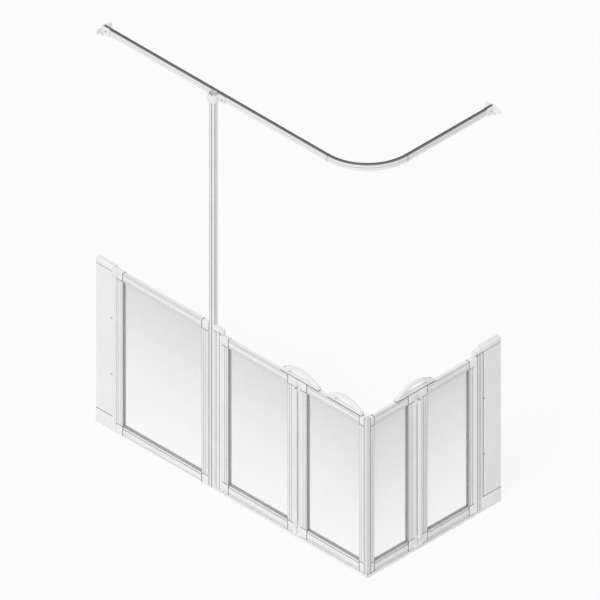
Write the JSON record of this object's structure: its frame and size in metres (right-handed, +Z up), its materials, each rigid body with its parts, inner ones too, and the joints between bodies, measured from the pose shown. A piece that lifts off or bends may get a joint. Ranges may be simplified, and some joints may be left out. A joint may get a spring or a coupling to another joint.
{
  "type": "half_height_shower_screen",
  "caption": "Half height corner shower screen: fixed panel, two folding door pairs with loop handles, floor pole and curved curtain rail on wall brackets",
  "frame": {"origin": "centre of the footprint at floor level", "axes": "+Z up, long run along X with its outside face to -Y, short run along Y with its outside face to +X"},
  "size_m": [1.727, 0.859, 2.14],
  "materials": {
    "white_frame": "satin white powder coat",
    "white_moulding": "white moulded plastic",
    "glass": "clear pale glazing",
    "seal_grey": "soft matt seal",
    "strip_grey": "matt magnetic strip",
    "steel": "bright steel",
    "pin_dark": "dark pin cap"
  },
  "bodies": {
    "screen_root": {"curtain_rail": "white_frame", "door_sill": "white_frame", "infill_screws": "steel", "left_hinge_post": "white_frame", "left_pivot_foot": "white_moulding", "left_post_cap": "white_moulding", "left_rail_bracket": "white_moulding", "left_wall_cap": "white_moulding", "left_wall_foot": "white_moulding", "left_wall_infill": "white_moulding", "panel_corner_caps": "white_moulding", "panel_glass": "glass", "panel_post_stile": "white_frame", "panel_rails": "white_frame", "panel_wall_stile": "white_frame", "pole": "white_frame", "pole_clamp": "white_moulding", "rail_screws": "steel", "right_hinge_post": "white_frame", "right_pivot_foot": "white_moulding", "right_post_cap": "white_moulding", "right_rail_bracket": "white_moulding", "right_wall_cap": "white_moulding", "right_wall_foot": "white_moulding", "right_wall_infill": "white_moulding", "wall_channel": "white_frame"},
    "left_inner_leaf": {"left_fold_handle_pin": "pin_dark", "left_inner_corner_caps": "white_moulding", "left_inner_floor_seal": "seal_grey", "left_inner_fold_stile": "white_frame", "left_inner_glass": "glass", "left_inner_hinge_stile": "white_frame", "left_inner_rails": "white_frame"},
    "left_outer_leaf": {"leaf_handle": "white_moulding", "left_fold_pin": "steel", "left_outer_corner_caps": "white_moulding", "left_outer_floor_seal": "seal_grey", "left_outer_fold_stile": "white_frame", "left_outer_free_stile": "white_frame", "left_outer_glass": "glass", "left_outer_magnet_strip": "strip_grey", "left_outer_rails": "white_frame"},
    "right_inner_leaf": {"right_fold_handle_pin": "pin_dark", "right_inner_corner_caps": "white_moulding", "right_inner_floor_seal": "seal_grey", "right_inner_fold_stile": "white_frame", "right_inner_glass": "glass", "right_inner_hinge_stile": "white_frame", "right_inner_rails": "white_frame"},
    "right_outer_leaf": {"right_fold_pin": "steel", "right_outer_corner_caps": "white_moulding", "right_outer_floor_seal": "seal_grey", "right_outer_fold_stile": "white_frame", "right_outer_free_stile": "white_frame", "right_outer_glass": "glass", "right_outer_magnet_strip": "strip_grey", "right_outer_rails": "white_frame"},
    "left_handle_loop": {"left_fold_handle": "white_moulding"},
    "right_handle_loop": {"right_fold_handle": "white_moulding"}
  },
  "joints": [
    {"name": "left_hinge", "type": "hinge", "parent": "screen_root", "child": "left_inner_leaf", "pos_m": [-0.0765, -0.4005, 0], "axis": [0, 0, -1], "range_deg": [0, 90]},
    {"name": "left_fold", "type": "hinge", "parent": "left_inner_leaf", "child": "left_outer_leaf", "pos_m": [0.4025, -0.4205, 0], "axis": [0, 0, -1], "range_deg": [0, 170]},
    {"name": "left_handle_swing", "type": "hinge", "parent": "left_inner_leaf", "child": "left_handle_loop", "pos_m": [0.3195, -0.4005, 0.857], "axis": [0, 0, -1], "range_deg": [0, 60]},
    {"name": "right_hinge", "type": "hinge", "parent": "screen_root", "child": "right_inner_leaf", "pos_m": [0.8345, 0.2725, 0], "axis": [0, 0, 1], "range_deg": [0, 90]},
    {"name": "right_fold", "type": "hinge", "parent": "right_inner_leaf", "child": "right_outer_leaf", "pos_m": [0.8545, -0.0925, 0], "axis": [0, 0, 1], "range_deg": [0, 170]},
    {"name": "right_handle_swing", "type": "hinge", "parent": "right_inner_leaf", "child": "right_handle_loop", "pos_m": [0.8345, -0.0095, 0.857], "axis": [0, 0, 1], "range_deg": [0, 60]}
  ]
}
